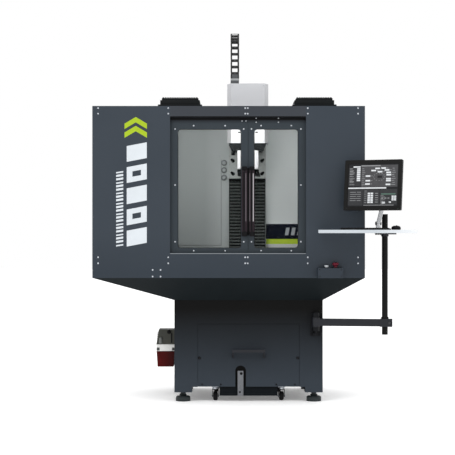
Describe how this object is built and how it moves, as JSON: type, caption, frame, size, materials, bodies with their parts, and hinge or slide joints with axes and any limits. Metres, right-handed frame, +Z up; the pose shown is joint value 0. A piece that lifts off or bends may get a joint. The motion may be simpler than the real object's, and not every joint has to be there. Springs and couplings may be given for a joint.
{
  "type": "cnc milling machine",
  "caption": "Enclosed vertical milling machine on a stand: sliding window doors, moving table and head, roll-out coolant tank, swing-arm operator console.",
  "frame": {"origin": "on the floor under the middle of the overall bounding box", "axes": "+X to the operator's right, +Y to the back of the machine, +Z up"},
  "size_m": [2.0279, 1.515, 2.4614],
  "materials": {
    "panel": "satin dark blue-grey powder coat",
    "stand": "satin dark grey powder coat",
    "pan": "satin dark grey",
    "door": "satin dark grey powder coat",
    "interior": "light grey paint",
    "white": "white powder coat",
    "casting": "light grey machine paint",
    "steel": "ground steel",
    "screw": "zinc plated",
    "pane": "clear polycarbonate",
    "handle": "black moulded",
    "bellows": "matt black rubberised cloth",
    "chain": "black nylon",
    "motor": "black anodised",
    "black": "matt black",
    "red": "gloss red",
    "light": "gloss white",
    "oiler": "translucent reservoir holding red oil",
    "arm": "satin black powder coat",
    "shelf": "white laminate",
    "silver": "silver paint",
    "screen": "display glass",
    "wheel": "black rubber",
    "cabinet": "grey powder coat"
  },
  "bodies": {
    "machine": {"stand_cabinet": "stand", "levelling_feet": "arm", "base_casting": "casting", "column_casting": "casting", "chip_pan": "pan", "enclosure_left_front_panel": "panel", "enclosure_right_front_panel": "panel", "enclosure_header": "panel", "enclosure_apron": "panel", "enclosure_side_walls": "panel", "enclosure_back_wall": "interior", "enclosure_roof": "panel", "roof_vents": "black", "door_tracks": "door", "enclosure_screws": "screw", "axis_motors": "motor", "z_way_cover": "bellows", "y_way_cover": "bellows", "energy_chain": "chain", "electrical_cabinet": "cabinet", "control_box": "panel", "oiler_pump": "black", "oiler_reservoir": "oiler", "arm_bracket": "arm"},
    "left_door": {"left_door_frame": "door", "left_door_window": "pane", "left_door_handle": "handle"},
    "right_door": {"right_door_frame": "door", "right_door_window": "pane", "right_door_handle": "handle"},
    "saddle": {"saddle": "casting"},
    "table": {"table": "steel", "x_axis_motor": "motor"},
    "x_screw": {"x_ball_screw": "steel"},
    "y_screw": {"y_ball_screw": "steel"},
    "z_screw": {"z_ball_screw": "steel"},
    "head": {"head_casting": "casting", "spindle_housing": "white", "spindle_motor": "motor", "head_cover": "white"},
    "spindle": {"spindle": "steel"},
    "cabinet_door": {"cabinet_door": "cabinet"},
    "estop": {"estop_button": "red"},
    "start": {"start_button": "light"},
    "tank": {"coolant_tank": "stand", "tank_fascia": "stand", "tank_handle": "arm", "caster_forks": "steel"},
    "front_wheels": {"caster_wheels_front": "wheel"},
    "back_wheels": {"caster_wheels_back": "wheel"},
    "arm": {"swing_arm": "arm"},
    "console": {"console_post": "arm", "shelf_bracket": "arm", "shelf": "shelf", "keyboard": "black", "mouse": "black", "monitor_arm": "silver"},
    "tilt_head": {"monitor_tilt_head": "silver"},
    "monitor": {"monitor_housing": "black", "monitor_screen": "screen"}
  },
  "joints": [
    {"name": "left_door_slide", "type": "slide", "parent": "machine", "child": "left_door", "axis": [-1, 0, 0], "range_m": [0, 0.445]},
    {"name": "right_door_slide", "type": "slide", "parent": "machine", "child": "right_door", "axis": [1, 0, 0], "range_m": [0, 0.318]},
    {"name": "y_axis", "type": "slide", "parent": "machine", "child": "saddle", "axis": [0, 1, 0], "range_m": [-0.279, 0], "deforming": ["y_way_cover"]},
    {"name": "x_axis", "type": "slide", "parent": "saddle", "child": "table", "axis": [1, 0, 0], "range_m": [-0.2286, 0.2286]},
    {"name": "z_axis", "type": "slide", "parent": "machine", "child": "head", "axis": [0, 0, 1], "range_m": [-0.413, 0], "deforming": ["z_way_cover", "energy_chain"]},
    {"name": "x_screw_turn", "type": "hinge", "parent": "table", "child": "x_screw", "pos_m": [-0.024, 0.323, 0.927], "axis": [1, 0, 0], "continuous": true},
    {"name": "y_screw_turn", "type": "hinge", "parent": "machine", "child": "y_screw", "pos_m": [-0.024, 0.133, 0.775], "axis": [0, 1, 0], "continuous": true},
    {"name": "z_screw_turn", "type": "hinge", "parent": "machine", "child": "z_screw", "pos_m": [-0.024, 0.533, 1.4], "axis": [0, 0, 1], "continuous": true},
    {"name": "spindle_spin", "type": "hinge", "parent": "head", "child": "spindle", "pos_m": [-0.024, 0.223, 1.458], "axis": [0, 0, 1], "continuous": true},
    {"name": "cabinet_door_hinge", "type": "hinge", "parent": "machine", "child": "cabinet_door", "pos_m": [-0.932, 0.737, 1.3], "axis": [0, 0, 1], "range_deg": [0, 115]},
    {"name": "estop_press", "type": "slide", "parent": "machine", "child": "estop", "axis": [0, 0, -1], "range_m": [0, 0.005], "stiffness_N_per_m": 2500, "springref_m": -0.001},
    {"name": "start_press", "type": "slide", "parent": "machine", "child": "start", "axis": [0, 0, -1], "range_m": [0, 0.004], "stiffness_N_per_m": 800, "springref_m": -0.001},
    {"name": "tank_slide", "type": "slide", "parent": "machine", "child": "tank", "axis": [0, -1, 0], "range_m": [0, 0.6]},
    {"name": "front_wheels_roll", "type": "hinge", "parent": "tank", "child": "front_wheels", "pos_m": [-0.024, -0.092, 0.03], "axis": [1, 0, 0], "continuous": true},
    {"name": "back_wheels_roll", "type": "hinge", "parent": "tank", "child": "back_wheels", "pos_m": [-0.024, 0.393, 0.03], "axis": [1, 0, 0], "continuous": true},
    {"name": "arm_swing", "type": "hinge", "parent": "machine", "child": "arm", "pos_m": [0.408, -0.217, 0.518], "axis": [0, 0, 1], "range_deg": [-30, 0]},
    {"name": "post_turn", "type": "hinge", "parent": "arm", "child": "console", "pos_m": [0.84584, -0.27526, 0.518], "axis": [0, 0, 1], "range_deg": [0, 60]},
    {"name": "monitor_swivel", "type": "hinge", "parent": "console", "child": "tilt_head", "pos_m": [0.784, -0.473, 1.381], "axis": [0, 0, 1], "range_deg": [-5, 30]},
    {"name": "monitor_tilt", "type": "hinge", "parent": "tilt_head", "child": "monitor", "pos_m": [0.77173, -0.49817, 1.381], "axis": [0.8988, -0.4384, 0], "range_deg": [-12, 8]}
  ],
  "couplings": [
    {"joint": "x_screw_turn", "follows": "x_axis", "rad_per_m": 1256.6},
    {"joint": "y_screw_turn", "follows": "y_axis", "rad_per_m": 1256.6},
    {"joint": "z_screw_turn", "follows": "z_axis", "rad_per_m": 1256.6},
    {"joint": "front_wheels_roll", "follows": "tank_slide", "rad_per_m": 33.333},
    {"joint": "back_wheels_roll", "follows": "tank_slide", "rad_per_m": 33.333}
  ]
}
